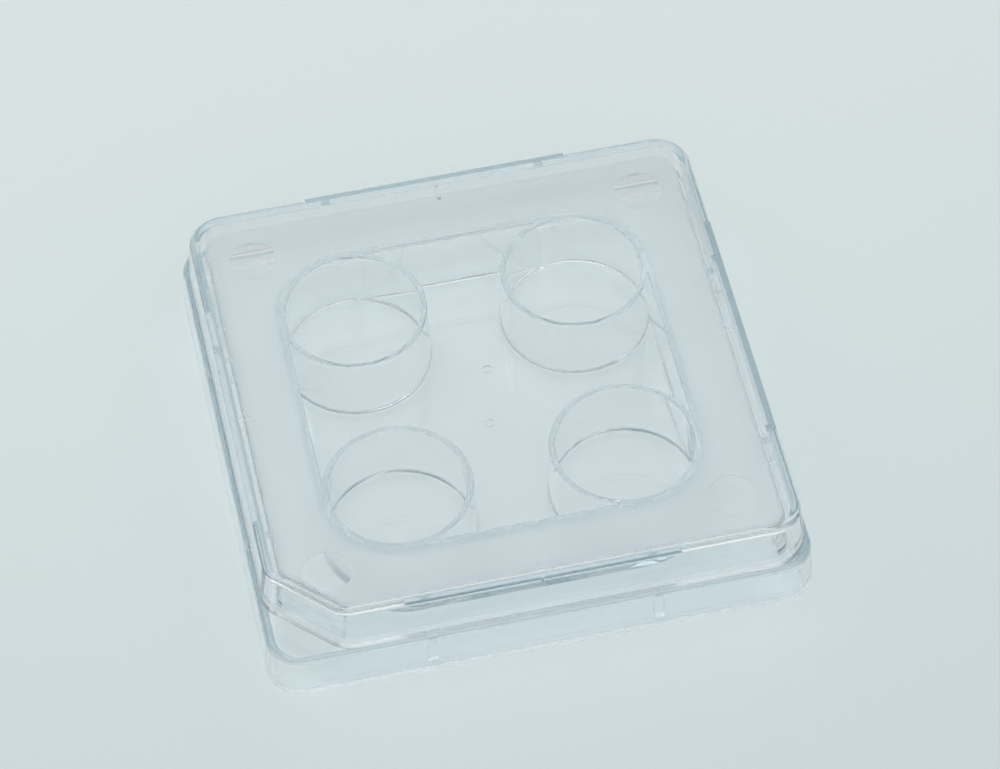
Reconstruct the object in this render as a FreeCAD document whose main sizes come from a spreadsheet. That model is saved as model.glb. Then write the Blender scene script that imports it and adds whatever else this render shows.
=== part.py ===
import FreeCAD, Part
import math
import os
import Sketcher
from FreeCAD import Vector

# A square four-well culture dish with its lid on: two clear mouldings.
# Millimetres. The origin is the centre of the footprint on the table, +Z is up,
# +X is to the right and -Y is the front. The bevelled corner is front left.

doc = FreeCAD.newDocument("well_plate")
sheet = doc.addObject("Spreadsheet::Sheet", "sizes")

# Every driving size. A "half" is the distance from the middle of the dish to a side.
sizes = {
    # base: foot, skirt and ledge
    "foot_half": 33.0,
    "foot_corner": 4.5,
    "skirt_wall": 1.2,
    "skirt_lean": 0.3,
    "ledge_height": 6.0,
    "ledge_thickness": 1.0,
    "ledge_round": 0.8,
    # base: upper wall and deck
    "upper_wall": 1.1,
    "deck_height": 10.4,
    "deck_thickness": 1.0,
    "deck_round": 0.7,
    # base: trough between the wells
    "trough_gap": 0.4,
    "trough_wall": 1.1,
    "trough_lean": 0.25,
    "floor_height": 1.6,
    "floor_thickness": 1.0,
    # base: wells
    "well_pitch": 27.5,
    "rim_outer": 9.03,
    "rim_inner": 8.27,
    "rim_round": 0.2,
    "well_foot": 9.2,
    "well_floor": 7.8,
    "floor_round": 0.35,
    # base: ribs behind the skirt, windows and gate mark
    "rib_offset": 13.6,
    "rib_width": 1.1,
    "rib_depth": 1.2,
    "rib_lift": 1.0,
    "window_offset": 24.25,
    "window_radius": 2.93,
    "window_depth": 0.1,
    "gate_radius": 0.55,
    "gate_depth": 0.15,
    # lid
    "lid_half": 32.2,
    "lid_corner": 4.9,
    "lid_bevel": 8.1,
    "bevel_round": 4.0,
    "lid_gap": 0.55,
    "lid_wall": 1.25,
    "lid_top": 1.25,
    "lid_lean": 0.11,
    "lid_round": 0.8,
    "lid_clearance": 0.75,
    "bar_half": 16.5,
    "bar_width": 1.4,
    "bar_depth": 1.1,
    "tick_inner": 28.5,
    "tick_width": 0.4,
    "tick_depth": 0.45,
    # the lid's top stands clear of the deck by the gap
    "lid_height": "=deck_height + lid_gap + lid_top",
}
for row, (name, size) in enumerate(sizes.items(), start=1):
    sheet.set("A%d" % row, name)
    sheet.set("B%d" % row, str(size))
    sheet.setAlias("B%d" % row, name)
doc.recompute()


# An offset towards the middle shortens the legs of a 45 degree bevel by this share of it,
# and rounding the ends of the cut takes this share of the radius from each straight.
bevel_loss = 2 - math.sqrt(2)
bevel_tangent = math.tan(math.radians(22.5))

# how a sketch names its own origin, and the middle of a circle in it
origin = (-1, 1)
middle_point = 3


def reading(expression):
    """The present value of an expression in the sheet's names."""
    return float(sheet.evalExpression(expression))


def bind(feature, **expressions):
    """Ties properties of a feature to the sheet."""
    for prop, expression in expressions.items():
        feature.setExpression(prop.replace("__", "."), expression)


def new_body(name):
    body = doc.addObject("PartDesign::Body", name)
    body.Label = name
    return body


def flat_sketch(body, name, height):
    """A sketch parallel to the table at a height that is bound to the sheet."""
    sketch = body.newObject("Sketcher::SketchObject", name)
    table = [p for p in body.Origin.OriginFeatures if p.Role == "XY_Plane"][0]
    sketch.AttachmentSupport = (table, [""])
    sketch.MapMode = "FlatFace"
    bind(sketch, AttachmentOffset__Base__z=height)
    return sketch


def dimension(sketch, expression, *constraint):
    """Adds a sketch dimension whose value follows the sheet."""
    index = sketch.addConstraint(Sketcher.Constraint(*constraint, reading(expression)))
    sketch.setExpression("Constraints[%d]" % index, expression)


def round_join(sketch, before, after, centre, radius, start, turn):
    """An arc that runs smoothly out of one line and into the next, counter-clockwise."""
    circle = Part.Circle(centre, Vector(0, 0, 1), radius)
    angles = math.radians(start), math.radians(start + turn)
    arc = sketch.addGeometry(Part.ArcOfCircle(circle, *angles))
    sketch.addConstraint(Sketcher.Constraint("Tangent", before, 2, arc, 1))
    sketch.addConstraint(Sketcher.Constraint("Tangent", arc, 2, after, 1))
    return arc


def square_outline(sketch, half, corner, bevel=None, bevel_round=None):
    """A square with round corners. With a bevel, the front left corner is cut off at
    45 degrees instead, and the two ends of the cut are rounded."""
    side, radius = reading(half), reading(corner)
    inset = side - radius
    reach = "(%s)" % half
    if bevel:
        # the sides stop short of the cut by the length that its rounding takes
        reach = "(%s - (%s) - %.6f * (%s))" % (half, bevel, bevel_tangent, bevel_round)
        low = -reading(reach)
    else:
        low = -inset
    ends = {
        "front": (Vector(low, -side), Vector(inset, -side)),
        "right": (Vector(side, -inset), Vector(side, inset)),
        "back": (Vector(inset, side), Vector(-inset, side)),
        "left": (Vector(-side, inset), Vector(-side, low)),
    }
    lines = {name: sketch.addGeometry(Part.LineSegment(*pair)) for name, pair in ends.items()}
    right_angles = [
        ("front", "right", Vector(inset, -inset), 270),
        ("right", "back", Vector(inset, inset), 0),
        ("back", "left", Vector(-inset, inset), 90),
    ]
    if not bevel:
        right_angles.append(("left", "front", Vector(-inset, -inset), 180))
    arcs = []
    for before, after, centre, start in right_angles:
        arcs.append(round_join(sketch, lines[before], lines[after], centre, radius, start, 90))
    for arc in arcs[1:]:
        sketch.addConstraint(Sketcher.Constraint("Equal", arcs[0], arc))
    for name in ("front", "back"):
        sketch.addConstraint(Sketcher.Constraint("Horizontal", lines[name]))
    for name in ("left", "right"):
        sketch.addConstraint(Sketcher.Constraint("Vertical", lines[name]))
    dimension(sketch, corner, "Radius", arcs[0])
    dimension(sketch, half, "DistanceX", -1, 1, lines["right"], 1)
    dimension(sketch, half, "DistanceX", lines["left"], 1, -1, 1)
    dimension(sketch, half, "DistanceY", -1, 1, lines["back"], 1)
    dimension(sketch, half, "DistanceY", lines["front"], 2, -1, 1)
    if bevel:
        bend = reading(bevel_round)
        left_centre = Vector(-side + bend, low)
        front_centre = Vector(low, -side + bend)
        swing = bend * math.sqrt(0.5)
        cut_start = left_centre - Vector(swing, swing)
        cut_end = front_centre - Vector(swing, swing)
        cut = sketch.addGeometry(Part.LineSegment(cut_start, cut_end))
        first = round_join(sketch, lines["left"], cut, left_centre, bend, 180, 45)
        second = round_join(sketch, cut, lines["front"], front_centre, bend, 225, 45)
        sketch.addConstraint(Sketcher.Constraint("Equal", first, second))
        dimension(sketch, bevel_round, "Radius", first)
        dimension(sketch, reach, "DistanceY", lines["left"], 2, -1, 1)
        dimension(sketch, reach, "DistanceX", lines["front"], 1, -1, 1)


def circles(sketch, offset, radius):
    """Four equal circles, one in each quarter of the dish."""
    place, size = reading(offset), reading(radius)
    for x_side in (-1, 1):
        for y_side in (-1, 1):
            middle = Vector(x_side * place, y_side * place)
            ring = sketch.addGeometry(Part.Circle(middle, Vector(0, 0, 1), size))
            dimension(sketch, radius, "Radius", ring)
            for direction, side in (("DistanceX", x_side), ("DistanceY", y_side)):
                ends = [origin, (ring, middle_point)][::side]
                dimension(sketch, offset, direction, *ends[0], *ends[1])


def rectangle(sketch, left, right, low, high):
    """A rectangle whose four sides each follow an expression, measured from the middle."""
    x0, x1, y0, y1 = (reading(side) for side in (left, right, low, high))
    ends = [Vector(x0, y0), Vector(x1, y0), Vector(x1, y1), Vector(x0, y1)]
    lines = [
        sketch.addGeometry(Part.LineSegment(ends[i], ends[(i + 1) % 4])) for i in range(4)
    ]
    for i in range(4):
        following = lines[(i + 1) % 4]
        sketch.addConstraint(Sketcher.Constraint("Coincident", lines[i], 2, following, 1))
        kind = "Horizontal" if i % 2 == 0 else "Vertical"
        sketch.addConstraint(Sketcher.Constraint(kind, lines[i]))
    for expression, direction, line in (
        (left, "DistanceX", lines[3]),
        (right, "DistanceX", lines[1]),
        (low, "DistanceY", lines[0]),
        (high, "DistanceY", lines[2]),
    ):
        if reading(expression) >= 0:
            dimension(sketch, expression, direction, -1, 1, line, 1)
        else:
            dimension(sketch, "-(%s)" % expression, direction, line, 1, -1, 1)


def cross_outline(sketch, half_length, inner, outer):
    """Four rectangles, one square across the middle of each side of the dish."""
    ends = ("-(%s)" % half_length, half_length)
    rectangle(sketch, *ends, inner, outer)
    rectangle(sketch, *ends, "-(%s)" % outer, "-(%s)" % inner)
    rectangle(sketch, inner, outer, *ends)
    rectangle(sketch, "-(%s)" % outer, "-(%s)" % inner, *ends)


def spot(sketch, radius):
    """One circle on the dish's own axis."""
    ring = sketch.addGeometry(Part.Circle(Vector(), Vector(0, 0, 1), reading(radius)))
    sketch.addConstraint(Sketcher.Constraint("Coincident", ring, middle_point, *origin))
    dimension(sketch, radius, "Radius", ring)


def feature(body, kind, name, sketch, length, taper=None, downwards=False):
    """A pad or pocket on a sketch, with its length and lean bound to the sheet."""
    made = body.newObject("PartDesign::" + kind, name)
    made.Profile = sketch
    sketch.Visibility = False
    bind(made, Length=length)
    if taper:
        bind(made, TaperAngle="-(%s)" % taper)
    # A pocket runs against its sketch's normal unless it is reversed.
    made.Reversed = downwards if kind == "Pad" else not downwards
    before = body.Shape.Volume if body.Shape and not body.Shape.isNull() else 0.0
    doc.recompute()
    grown = made.Shape.Volume > before
    if grown != (kind == "Pad"):
        raise ValueError("%s changed the volume the wrong way" % name)
    return made


def rounded(body, name, base, edges, radius):
    """Rounds the named edges of the last feature."""
    made = body.newObject("PartDesign::Fillet", name)
    made.Base = (base, edges)
    bind(made, Radius=radius)
    doc.recompute()
    return made


def edges_at(shape, test):
    """Names of the edges whose every sampled point passes the test."""
    names = []
    for number, edge in enumerate(shape.Edges, start=1):
        first, last = edge.ParameterRange
        spots = [edge.valueAt(first + (last - first) * k / 4) for k in range(5)]
        if all(test(spot) for spot in spots):
            names.append("Edge%d" % number)
    return names


def near(a, b, slack=0.02):
    return abs(a - b) < slack


def make_base():
    body = new_body("plate_base")
    lid_depth = "(sizes.lid_wall + sizes.lid_clearance)"
    upper_half = "sizes.lid_half - %s" % lid_depth
    upper_corner = "sizes.lid_corner - %s" % lid_depth
    upper_bevel = "sizes.lid_bevel - %.6f * %s" % (bevel_loss, lid_depth)
    upper_bend = "sizes.bevel_round - %s" % lid_depth
    lid_taper = "atan(sizes.lid_lean)"
    upper_tall = "sizes.deck_height - sizes.ledge_height"
    deck_under = "sizes.deck_height - sizes.deck_thickness"
    half_pitch = "sizes.well_pitch / 2"

    # outer block: foot and skirt, leaning in to the ledge
    sketch = flat_sketch(body, "foot_outline", "0")
    square_outline(sketch, "sizes.foot_half", "sizes.foot_corner")
    lean = "atan(sizes.skirt_lean / sizes.ledge_height)"
    skirt = feature(body, "Pad", "skirt_block", sketch, "sizes.ledge_height", lean)
    ledge_edge = edges_at(skirt.Shape, lambda p: near(p.z, reading("sizes.ledge_height")))
    rounded(body, "ledge_edge", skirt, ledge_edge, "sizes.ledge_round")

    # upper block, inside the lid's skirt
    sketch = flat_sketch(body, "upper_outline", "sizes.ledge_height")
    square_outline(sketch, upper_half, upper_corner, upper_bevel, upper_bend)
    upper = feature(body, "Pad", "upper_block", sketch, upper_tall, lid_taper)
    deck_edge = edges_at(upper.Shape, lambda p: near(p.z, reading("sizes.deck_height")))
    rounded(body, "deck_edge", upper, deck_edge, "sizes.deck_round")

    # hollow from below: the wide skirt space, then the narrower space under the deck
    sketch = flat_sketch(body, "skirt_hollow_outline", "0")
    square_outline(
        sketch, "sizes.foot_half - sizes.skirt_wall", "sizes.foot_corner - sizes.skirt_wall"
    )
    under_ledge = "sizes.ledge_height - sizes.ledge_thickness"
    feature(body, "Pocket", "skirt_hollow", sketch, under_ledge, lean, downwards=False)
    sketch = flat_sketch(body, "deck_hollow_outline", under_ledge)
    square_outline(
        sketch,
        "%s - sizes.upper_wall" % upper_half,
        "%s - sizes.upper_wall" % upper_corner,
        "%s - %.6f * sizes.upper_wall" % (upper_bevel, bevel_loss),
        "%s - sizes.upper_wall" % upper_bend,
    )
    tall = "%s - (%s)" % (deck_under, under_ledge)
    feature(body, "Pocket", "deck_hollow", sketch, tall, lid_taper, downwards=False)

    # tub of the trough: its walls hang from the deck and end in the floor
    trough_half = "%s + sizes.rim_outer - sizes.trough_gap" % half_pitch
    trough_corner = "sizes.rim_outer - sizes.trough_gap"
    tub_low = "sizes.floor_height - sizes.floor_thickness"
    sketch = flat_sketch(body, "tub_outline", tub_low)
    square_outline(
        sketch, "%s + sizes.trough_wall" % trough_half, "%s + sizes.trough_wall" % trough_corner
    )
    tub_length = "sizes.deck_height - sizes.deck_thickness / 2 - (%s)" % tub_low
    feature(body, "Pad", "tub", sketch, tub_length)
    sketch = flat_sketch(body, "trough_outline", "sizes.deck_height")
    square_outline(sketch, trough_half, trough_corner)
    trough_deep = "sizes.deck_height - sizes.floor_height"
    trough_taper = "-atan(sizes.trough_lean / (%s))" % trough_deep
    feature(body, "Pocket", "trough", sketch, trough_deep, trough_taper, downwards=True)

    # wells: four drafted cups that stand on the floor, flush with the deck
    sketch = flat_sketch(body, "well_outlines", "sizes.floor_height - sizes.floor_thickness / 2")
    circles(sketch, half_pitch, "sizes.well_foot")
    tall = "sizes.deck_height - sizes.floor_height + sizes.floor_thickness / 2"
    taper = "atan((sizes.well_foot - sizes.rim_outer) / (%s))" % tall
    feature(body, "Pad", "well_walls", sketch, tall, taper)
    sketch = flat_sketch(body, "well_mouths", "sizes.deck_height")
    circles(sketch, half_pitch, "sizes.rim_inner")
    taper = "-atan((sizes.rim_inner - sizes.well_floor) / (%s))" % trough_deep
    wells = feature(body, "Pocket", "well_insides", sketch, trough_deep, taper, downwards=True)
    # one soft edge runs round every mouth, along the rims and round the trough
    mouths = edges_at(
        wells.Shape,
        lambda p: near(p.z, reading("sizes.deck_height"))
        and max(abs(p.x), abs(p.y)) < reading("sizes.window_offset"),
    )
    rims = rounded(body, "rim_edges", wells, mouths, "sizes.rim_round")
    # and a small hollow one runs round every foot: inside the wells and along the trough's floor
    feet = edges_at(rims.Shape, lambda p: near(p.z, reading("sizes.floor_height")))
    rounded(body, "foot_edges", rims, feet, "sizes.floor_round")

    # ribs that stiffen the skirt, hidden behind it in line with the wells
    sketch = flat_sketch(body, "rib_outlines", "sizes.rib_lift")
    behind = "sizes.foot_half - sizes.skirt_wall"
    inward = "%s - sizes.rib_depth" % behind
    outward = "sizes.foot_half - sizes.skirt_wall / 2"
    for side in (-1, 1):
        near_side = "%d * sizes.rib_offset - sizes.rib_width / 2" % side
        far_side = "%d * sizes.rib_offset + sizes.rib_width / 2" % side
        rectangle(sketch, near_side, far_side, inward, outward)
        rectangle(sketch, near_side, far_side, "-(%s)" % outward, "-(%s)" % inward)
        rectangle(sketch, inward, outward, near_side, far_side)
        rectangle(sketch, "-(%s)" % outward, "-(%s)" % inward, near_side, far_side)
    tall = "%s - sizes.rib_lift + sizes.ledge_thickness / 2" % under_ledge
    feature(body, "Pad", "skirt_ribs", sketch, tall)

    # clear round windows, sunk a hair into the deck
    sketch = flat_sketch(body, "window_outlines", "sizes.deck_height")
    circles(sketch, "sizes.window_offset", "sizes.window_radius")
    feature(body, "Pocket", "windows", sketch, "sizes.window_depth", downwards=True)

    # the moulding gate's dimple, under the middle of the floor
    sketch = flat_sketch(body, "gate_outline", "sizes.floor_height - sizes.floor_thickness")
    spot(sketch, "sizes.gate_radius")
    feature(body, "Pocket", "gate_mark", sketch, "sizes.gate_depth", downwards=False)
    return body


def make_lid():
    body = new_body("lid")
    taper = "atan(sizes.lid_lean)"
    under = "sizes.lid_height - sizes.lid_top"

    # outer block, rounded along its top edge
    sketch = flat_sketch(body, "lid_outline", "sizes.ledge_height")
    square_outline(
        sketch, "sizes.lid_half", "sizes.lid_corner", "sizes.lid_bevel", "sizes.bevel_round"
    )
    block = feature(
        body, "Pad", "lid_block", sketch, "sizes.lid_height - sizes.ledge_height", taper
    )
    top_edge = edges_at(block.Shape, lambda p: near(p.z, reading("sizes.lid_height")))
    rounded(body, "lid_edge", block, top_edge, "sizes.lid_round")

    # hollow that fits over the base's upper wall
    sketch = flat_sketch(body, "lid_hollow_outline", "sizes.ledge_height")
    square_outline(
        sketch,
        "sizes.lid_half - sizes.lid_wall",
        "sizes.lid_corner - sizes.lid_wall",
        "sizes.lid_bevel - %.6f * sizes.lid_wall" % bevel_loss,
        "sizes.bevel_round - sizes.lid_wall",
    )
    deep = "%s - sizes.ledge_height" % under
    feature(body, "Pocket", "lid_hollow", sketch, deep, taper, downwards=False)

    # square-edged bars that fill the rounding at the middle of each side
    bar_low = "(sizes.lid_height - sizes.bar_depth)"
    bar_out = "(sizes.lid_half - sizes.lid_lean * (%s - sizes.ledge_height))" % bar_low
    bar_in = "(%s - sizes.bar_width)" % bar_out
    sketch = flat_sketch(body, "bar_outlines", bar_low)
    cross_outline(sketch, "sizes.bar_half", bar_in, bar_out)
    feature(body, "Pad", "bars", sketch, "sizes.bar_depth", taper)

    # short ribs under the top, one at the middle of each side
    sketch = flat_sketch(body, "tick_outlines", "%s - sizes.tick_depth" % under)
    tick_out = "(sizes.lid_half - sizes.lid_lean * (%s - sizes.ledge_height)" % under
    tick_out += " - sizes.lid_wall / 2)"
    cross_outline(sketch, "sizes.tick_width / 2", "sizes.tick_inner", tick_out)
    feature(body, "Pad", "ticks", sketch, "sizes.tick_depth + sizes.lid_top / 2")

    # the moulding gate's dimple, in the middle of the top
    sketch = flat_sketch(body, "lid_gate_outline", "sizes.lid_height")
    spot(sketch, "sizes.gate_radius")
    feature(body, "Pocket", "lid_gate_mark", sketch, "sizes.gate_depth", downwards=True)
    return body


doc_bodies = [make_base(), make_lid()]
doc.recompute()

for item in doc.Objects:
    if "Invalid" in item.State or "Error" in item.State:
        raise ValueError("%s failed: %s" % (item.Name, item.State))
os.makedirs("parts", exist_ok=True)
for body in doc_bodies:
    shape = body.Shape
    if shape.isNull() or not shape.isValid() or len(shape.Solids) != 1:
        raise ValueError("%s isn't one sound solid" % body.Label)
    box = shape.optimalBoundingBox(True, False)
    spans = (box.XLength, box.YLength, box.ZLength)
    print(body.Label, "%.1f mm3, %.2f x %.2f x %.2f mm" % (shape.Volume, *spans))
    shape.exportStep("parts/%s.step" % body.Label)
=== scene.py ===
import math

import bmesh
import bpy
from mathutils import Matrix, Vector


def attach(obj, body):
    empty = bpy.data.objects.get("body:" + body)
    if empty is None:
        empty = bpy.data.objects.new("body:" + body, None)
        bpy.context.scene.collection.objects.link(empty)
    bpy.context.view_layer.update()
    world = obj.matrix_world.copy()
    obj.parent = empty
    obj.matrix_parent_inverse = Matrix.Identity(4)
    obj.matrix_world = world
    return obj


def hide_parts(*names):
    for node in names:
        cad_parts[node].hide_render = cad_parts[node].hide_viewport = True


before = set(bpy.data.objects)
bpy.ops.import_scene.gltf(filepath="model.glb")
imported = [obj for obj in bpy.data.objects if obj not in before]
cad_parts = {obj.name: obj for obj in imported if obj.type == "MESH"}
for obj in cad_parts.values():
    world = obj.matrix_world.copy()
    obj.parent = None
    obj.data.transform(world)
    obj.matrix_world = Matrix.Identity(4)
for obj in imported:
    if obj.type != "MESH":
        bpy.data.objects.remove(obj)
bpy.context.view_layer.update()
scene = bpy.context.scene
scene.view_settings.view_transform = "Standard"
# light runs a long way inside thin clear walls before it gets out again
scene.cycles.max_bounces = 128
scene.cycles.transmission_bounces = 128
scene.cycles.glossy_bounces = 128
scene.cycles.transparent_max_bounces = 64
scene.cycles.diffuse_bounces = 2
# and it stays sharp on the way to the table, or it would be lost under the plate
scene.cycles.blur_glossy = 0.0


def addNode(tree, kind, **settings):
    node = tree.nodes.new(kind)
    for name, value in settings.items():
        setattr(node, name, value)
    return node


def feed(tree, socket, value):
    # a socket takes either another node's output or a plain value
    if isinstance(value, bpy.types.NodeSocket):
        tree.links.new(value, socket)
    else:
        socket.default_value = value


def calc(tree, operation, *values):
    node = addNode(tree, "ShaderNodeMath", operation=operation)
    for socket, value in zip(node.inputs, values):
        feed(tree, socket, value)
    return node.outputs[0]


def spread(tree, value, low, high):
    # eases from 0 to 1 as the value goes from low to high
    node = addNode(tree, "ShaderNodeMapRange", interpolation_type="SMOOTHSTEP")
    for name, given in (("Value", value), ("From Min", low), ("From Max", high)):
        feed(tree, node.inputs[name], given)
    return node.outputs["Result"]


def blend(tree, share, first, second):
    node = addNode(tree, "ShaderNodeMix", data_type="RGBA")
    colours = [socket for socket in node.inputs if socket.type == "RGBA"]
    for socket, value in zip([node.inputs[0], *colours], (share, first, second)):
        feed(tree, socket, value)
    return [socket for socket in node.outputs if socket.type == "RGBA"][0]


def split(tree, vector):
    node = addNode(tree, "ShaderNodeSeparateXYZ")
    feed(tree, node.inputs[0], vector)
    return node.outputs


def objectPlace(tree):
    return addNode(tree, "ShaderNodeTexCoord").outputs["Object"]


def newGroup(name, inputs, outputs):
    group = bpy.data.node_groups.new(name, "ShaderNodeTree")
    for label, value in inputs.items():
        socket = group.interface.new_socket(
            name=label, in_out="INPUT", socket_type="NodeSocketFloat"
        )
        socket.default_value = value
    for label in outputs:
        group.interface.new_socket(
            name=label, in_out="OUTPUT", socket_type="NodeSocketFloat"
        )
    given = addNode(group, "NodeGroupInput").outputs
    result = addNode(group, "NodeGroupOutput").inputs
    return group, given, result


def placeGroup(tree, group, values):
    node = addNode(tree, "ShaderNodeGroup", node_tree=group)
    for name, value in values.items():
        feed(tree, node.inputs[name], value)
    return node.outputs[0]


cameraLook = {
    "azimuth": -10.093,     # degrees round from the front
    "elevation": 51.644,    # degrees above the table
    "roll": -2.6,
    "distance": 0.54303,
    "slideRight": 0.0012135,
    "slideUp": 0.0057354,
    "lens": 160.03,
}


def makeCamera(look):
    azimuth, elevation, roll = (
        math.radians(look[name]) for name in ("azimuth", "elevation", "roll")
    )
    back = Vector((
        math.sin(azimuth) * math.cos(elevation),
        -math.cos(azimuth) * math.cos(elevation),
        math.sin(elevation),
    ))
    level = Vector((math.cos(azimuth), math.sin(azimuth), 0))
    upright = back.cross(level)
    right = level * math.cos(roll) + upright * math.sin(roll)
    up = upright * math.cos(roll) - level * math.sin(roll)
    place = right * look["slideRight"] + up * look["slideUp"] + back * look["distance"]
    data = bpy.data.cameras.new("mainCamera")
    data.lens = look["lens"]
    data.clip_start = 0.01
    camera = bpy.data.objects.new("mainCamera", data)
    scene.collection.objects.link(camera)
    turn = Matrix((right, up, back)).transposed().to_4x4()
    camera.matrix_world = Matrix.Translation(place) @ turn
    scene.camera = camera


makeCamera(cameraLook)
print("camera set")


def makeFrostGroup():
    # 1 on the frosted top of the deck, less in the four round windows, 0 in the trough;
    # it places the frost and the painted shade of frostTint
    group, given, result = newGroup(
        "deckFrostAndShade",
        {
            "Lowest": 0.01028,      # a little under the windows' floors
            "Well Offset": 0.01375,
            "Trough Reach": 0.0092,
            "Window Offset": 0.02425,
            "Window Radius": 0.00293,
            "Window Share": 0.25,
        },
        ["Mask"],
    )
    place = split(group, objectPlace(group))
    across = calc(group, "ABSOLUTE", place["X"])
    along = calc(group, "ABSOLUTE", place["Y"])

    def reach(offset, least):
        sides = [calc(group, "SUBTRACT", value, offset) for value in (across, along)]
        sides = [calc(group, "MAXIMUM", side, least) for side in sides]
        squares = [calc(group, "MULTIPLY", side, side) for side in sides]
        return calc(group, "SQRT", calc(group, "ADD", *squares))

    onTop = calc(group, "GREATER_THAN", place["Z"], given["Lowest"])
    fromWells = reach(given["Well Offset"], 0.0)
    onDeck = calc(group, "GREATER_THAN", fromWells, given["Trough Reach"])
    fromWindow = reach(given["Window Offset"], -1.0)
    offWindow = calc(group, "GREATER_THAN", fromWindow, given["Window Radius"])
    share = calc(group, "MAXIMUM", offWindow, given["Window Share"])
    mask = calc(group, "MULTIPLY", calc(group, "MULTIPLY", onTop, onDeck), share)
    feed(group, result["Mask"], mask)
    return group


def makeRimGroup():
    # 1 on the narrow flat faces at one height, along the outside of a moulding, made
    # matt and given painted shade
    group, given, result = newGroup(
        "mattShadedRim",
        {
            "Height": 0.0,
            "Slack": 0.00002,       # how far off that height still counts
            "Beyond": 0.027,        # how far out from the middle they begin
        },
        ["Mask"],
    )
    place = split(group, objectPlace(group))
    rise = calc(group, "SUBTRACT", place["Z"], given["Height"])
    onRim = calc(group, "LESS_THAN", calc(group, "ABSOLUTE", rise), given["Slack"])
    sides = [calc(group, "ABSOLUTE", place[axis]) for axis in ("X", "Y")]
    furthest = calc(group, "MAXIMUM", *sides)
    outside = calc(group, "GREATER_THAN", furthest, given["Beyond"])
    feed(group, result["Mask"], calc(group, "MULTIPLY", onRim, outside))
    return group


def makeMarkGroup():
    # faint wiping marks, as handling leaves on clear plastic
    group, given, result = newGroup(
        "wipeMarks",
        {
            "Scale": 900.0,
            "Faintest": 0.7,        # only the tops of the pattern show
            "Fullest": 0.78,
            "Strength": 0.06,
        },
        ["Marks"],
    )
    stretch = addNode(group, "ShaderNodeMapping")
    feed(group, stretch.inputs["Vector"], objectPlace(group))
    # long streaks, a little askew to the sides
    stretch.inputs["Rotation"].default_value = (0.0, 0.0, 0.6)
    stretch.inputs["Scale"].default_value = (1.0, 0.12, 1.0)
    streaks = addNode(group, "ShaderNodeTexNoise")
    feed(group, streaks.inputs["Vector"], stretch.outputs[0])
    feed(group, streaks.inputs["Scale"], given["Scale"])
    streaks.inputs["Detail"].default_value = 0.0
    marks = spread(
        group, streaks.outputs["Fac"], given["Faintest"], given["Fullest"]
    )
    feed(group, result["Marks"], calc(group, "MULTIPLY", marks, given["Strength"]))
    return group


deckFrostAndShade = makeFrostGroup()
mattShadedRim = makeRimGroup()
wipeMarks = makeMarkGroup()


def makeClearPlastic(name, look):
    material = bpy.data.materials.new(name)
    material.use_nodes = True
    tree = material.node_tree
    plastic = tree.nodes["Principled BSDF"]
    output = tree.nodes["Material Output"]
    plastic.inputs["Metallic"].default_value = 0.0
    plastic.inputs["Transmission Weight"].default_value = 1.0
    plastic.inputs["IOR"].default_value = look["bending"]
    rough = 0.0
    if "markRoughness" in look:
        rough = placeGroup(tree, wipeMarks, {"Strength": look["markRoughness"]})
    colour = look["tint"]
    finishesAndShades = [
        (placeGroup(tree, mattShadedRim, {"Height": height + look["lift"]}), "rim")
        for height in look["rims"]
    ]
    if "frostTint" in look:
        finishesAndShades.append((placeGroup(tree, deckFrostAndShade, {}), "frost"))
    # each finish's tint is painted shade: grey on the matt rims and on the frosted deck
    for mask, finish in finishesAndShades:
        matt = calc(tree, "MULTIPLY", mask, look[finish + "Roughness"])
        rough = calc(tree, "MAXIMUM", rough, matt)
        colour = blend(tree, mask, colour, look[finish + "Tint"])
    feed(tree, plastic.inputs["Roughness"], rough)
    feed(tree, plastic.inputs["Base Color"], colour)
    # lamps shine through with a light shade, as through any clear sheet
    shade = addNode(tree, "ShaderNodeBsdfTransparent")
    shade.inputs["Color"].default_value = look["shade"]
    choice = addNode(tree, "ShaderNodeMixShader")
    path = addNode(tree, "ShaderNodeLightPath")
    tree.links.new(path.outputs["Is Shadow Ray"], choice.inputs[0])
    tree.links.new(plastic.outputs[0], choice.inputs[1])
    tree.links.new(shade.outputs[0], choice.inputs[2])
    tree.links.new(choice.outputs[0], output.inputs["Surface"])
    # long runs inside the walls come out darker and a little blue
    depth = addNode(tree, "ShaderNodeVolumeAbsorption")
    depth.inputs["Color"].default_value = look["depthColour"]
    depth.inputs["Density"].default_value = look["depthDensity"]
    tree.links.new(depth.outputs[0], output.inputs["Volume"])
    return material


mergeReach = 0.000001   # corners closer than this are one


def mergedCopy(node, name, lift):
    # one closed skin from the CAD node's loose triangles, with a hair of air under it
    # each corner keeps its true normal through the merge
    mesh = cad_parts[node].data.copy()
    mesh.name = name
    normals = [0.0] * (3 * len(mesh.loops))
    mesh.corner_normals.foreach_get("vector", normals)
    kept = mesh.attributes.new("trueNormal", "FLOAT_VECTOR", "CORNER")
    kept.data.foreach_set("vector", normals)
    skin = bmesh.new()
    skin.from_mesh(mesh)
    bmesh.ops.remove_doubles(skin, verts=skin.verts, dist=mergeReach)
    bmesh.ops.translate(skin, verts=skin.verts, vec=(0, 0, lift))
    skin.to_mesh(mesh)
    skin.free()
    normals = [0.0] * (3 * len(mesh.loops))
    mesh.attributes["trueNormal"].data.foreach_get("vector", normals)
    mesh.attributes.remove(mesh.attributes["trueNormal"])
    mesh.shade_smooth()
    mesh.normals_split_custom_set([normals[i:i + 3] for i in range(0, len(normals), 3)])
    mesh.materials.clear()
    piece = bpy.data.objects.new(name, mesh)
    scene.collection.objects.link(piece)
    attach(piece, "root")
    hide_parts(node)
    return piece


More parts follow.
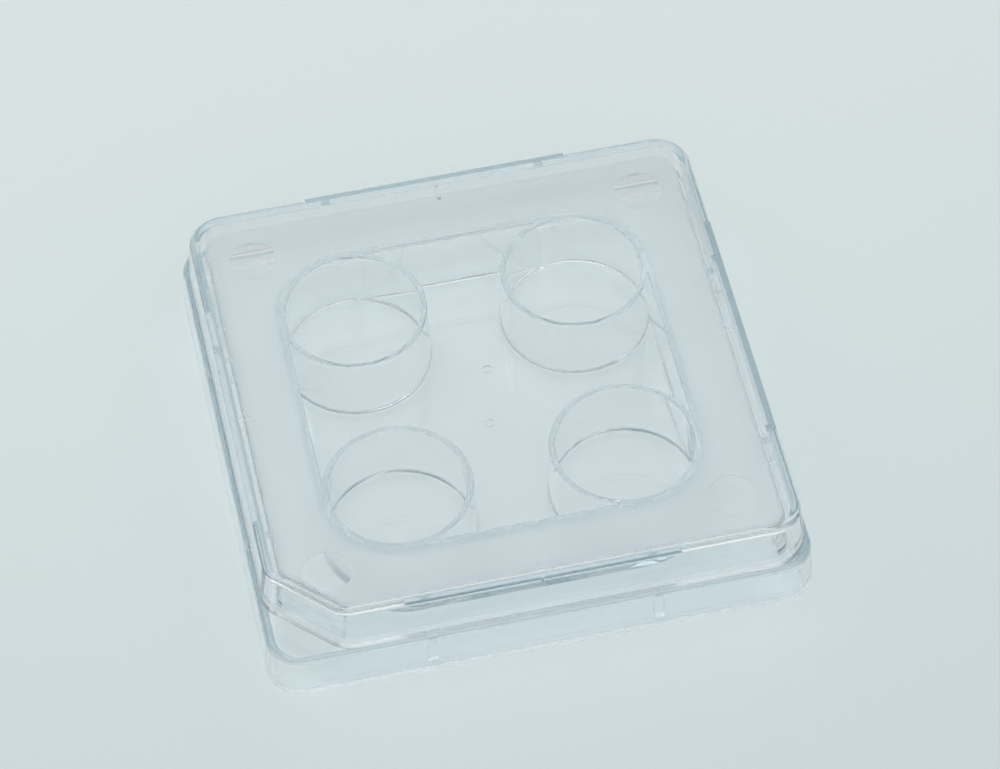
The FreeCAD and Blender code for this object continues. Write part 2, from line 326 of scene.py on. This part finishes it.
baseLook = {
    "tint": (0.975, 0.977, 0.98, 1),
    "bending": 1.59,
    "shade": (0.985, 0.99, 0.992, 1),
    "depthColour": (0.60, 0.72, 0.76, 1),
    "depthDensity": 28.0,
    "frostRoughness": 0.55,
    # frostTint is painted shade, a grey that darkens the frosted deck
    "frostTint": (0.87, 0.9, 0.907, 1),
    # the foot and the ends of the ribs behind the skirt are matt, and rimTint is
    # painted shade under the skirt
    "rims": (0.0, 0.001),
    "rimRoughness": 0.5,
    "rimTint": (0.54, 0.62, 0.65, 1),
    "lift": 0.00003,
}
basePiece = mergedCopy("plate_base", "clearBase", baseLook["lift"])
basePiece.data.materials.append(makeClearPlastic("frostedPolystyrene", baseLook))
print("base made")

lidLook = {
    "tint": (0.975, 0.977, 0.98, 1),
    "bending": 1.59,
    "shade": (0.985, 0.99, 0.992, 1),
    "depthColour": (0.60, 0.72, 0.76, 1),
    "depthDensity": 28.0,
    "markRoughness": 0.06,
    # the hem that rests on the base's ledge is a little dull, and rimTint is painted
    # shade where it sits on the ledge
    "rims": (0.006,),
    "rimRoughness": 0.22,
    "rimTint": (0.85, 0.89, 0.91, 1),
    "lift": 0.00006,
}
lidPiece = mergedCopy("lid", "clearLid", lidLook["lift"])
lidPiece.data.materials.append(makeClearPlastic("polishedPolystyrene", lidLook))
print("lid made")

floorLook = {
    "half": 2.0,
    "roughness": 0.65,
    "shine": 0.2,
    "colour": (0.68, 0.763, 0.785, 1),
    # painted light: the table is coloured lighter towards the back, where the light is
    # brighter
    "paintedLightBackColour": (0.77, 0.85, 0.845, 1),
    "paintedLightReach": 0.09,
}


def makeFloor(look):
    mesh = bpy.data.meshes.new("tableTop")
    sheet = bmesh.new()
    bmesh.ops.create_grid(sheet, x_segments=1, y_segments=1, size=look["half"])
    sheet.to_mesh(mesh)
    sheet.free()
    floor = bpy.data.objects.new("tableTop", mesh)
    scene.collection.objects.link(floor)
    material = bpy.data.materials.new("paleTable")
    material.use_nodes = True
    tree = material.node_tree
    top = tree.nodes["Principled BSDF"]
    top.inputs["Roughness"].default_value = look["roughness"]
    top.inputs["Specular IOR Level"].default_value = look["shine"]
    # painted light, lighter towards the back
    along = split(tree, objectPlace(tree))["Y"]
    share = spread(tree, along, -look["paintedLightReach"], look["paintedLightReach"])
    colour = blend(tree, share, look["colour"], look["paintedLightBackColour"])
    feed(tree, top.inputs["Base Color"], colour)
    mesh.materials.append(material)


makeFloor(floorLook)

skyLook = {
    "strength": 1.15,
    "tint": (0.99, 1.0, 1.0),
    # brightness of the studio from level with the table (0) to straight overhead (1)
    "front": [
        (0.0, 0.85), (0.4, 0.75), (0.55, 0.6),
        (0.7, 0.75), (0.85, 1.0), (1.0, 1.2),
    ],
    "back": [
        (0.0, 1.0), (0.25, 0.85), (0.38, 0.2), (0.66, 0.2),
        (0.76, 0.6), (0.88, 0.8), (0.95, 1.15), (1.0, 1.2),
    ],
    "sides": [
        (0.0, 0.03), (0.25, 0.1), (0.5, 0.5),
        (0.75, 0.8), (0.9, 1.1), (1.0, 1.2),
    ],
    # how far round to a side the front and back stop and the sides begin
    "turn": (0.3, 0.8),
    "seam": (-0.1, 0.1),    # where the front gives way to the back
}


def makeSky(look):
    world = bpy.data.worlds.new("studio")
    scene.world = world
    world.use_nodes = True
    tree = world.node_tree
    towards = split(tree, addNode(tree, "ShaderNodeTexCoord").outputs["Generated"])

    def wall(name):
        ramp = addNode(tree, "ShaderNodeValToRGB")
        stops = ramp.color_ramp.elements
        stops.remove(stops[1])
        for index, (position, value) in enumerate(look[name]):
            stop = stops[0] if index == 0 else stops.new(position)
            stop.position = position
            stop.color = tuple(value * part for part in look["tint"]) + (1,)
        feed(tree, ramp.inputs["Fac"], towards["Z"])
        return ramp.outputs["Color"]

    backwards = spread(tree, towards["Y"], *look["seam"])
    sideways = spread(tree, calc(tree, "ABSOLUTE", towards["X"]), *look["turn"])
    ends = blend(tree, backwards, wall("front"), wall("back"))
    lighting = tree.nodes["Background"]
    feed(tree, lighting.inputs["Color"], blend(tree, sideways, ends, wall("sides")))
    lighting.inputs["Strength"].default_value = look["strength"]


makeSky(skyLook)

lampLook = {
    "place": (-0.25, 0.45, 0.9),
    "size": 0.5,
    "power": 1.0,
}


def makeLamp(look):
    data = bpy.data.lights.new("softBox", "AREA")
    data.shape = "DISK"
    data.size = look["size"]
    data.energy = look["power"]
    lamp = bpy.data.objects.new("softBox", data)
    scene.collection.objects.link(lamp)
    place = Vector(look["place"])
    turn = place.to_track_quat("Z", "Y").to_matrix().to_4x4()
    lamp.matrix_world = Matrix.Translation(place) @ turn


makeLamp(lampLook)
print("stage made")
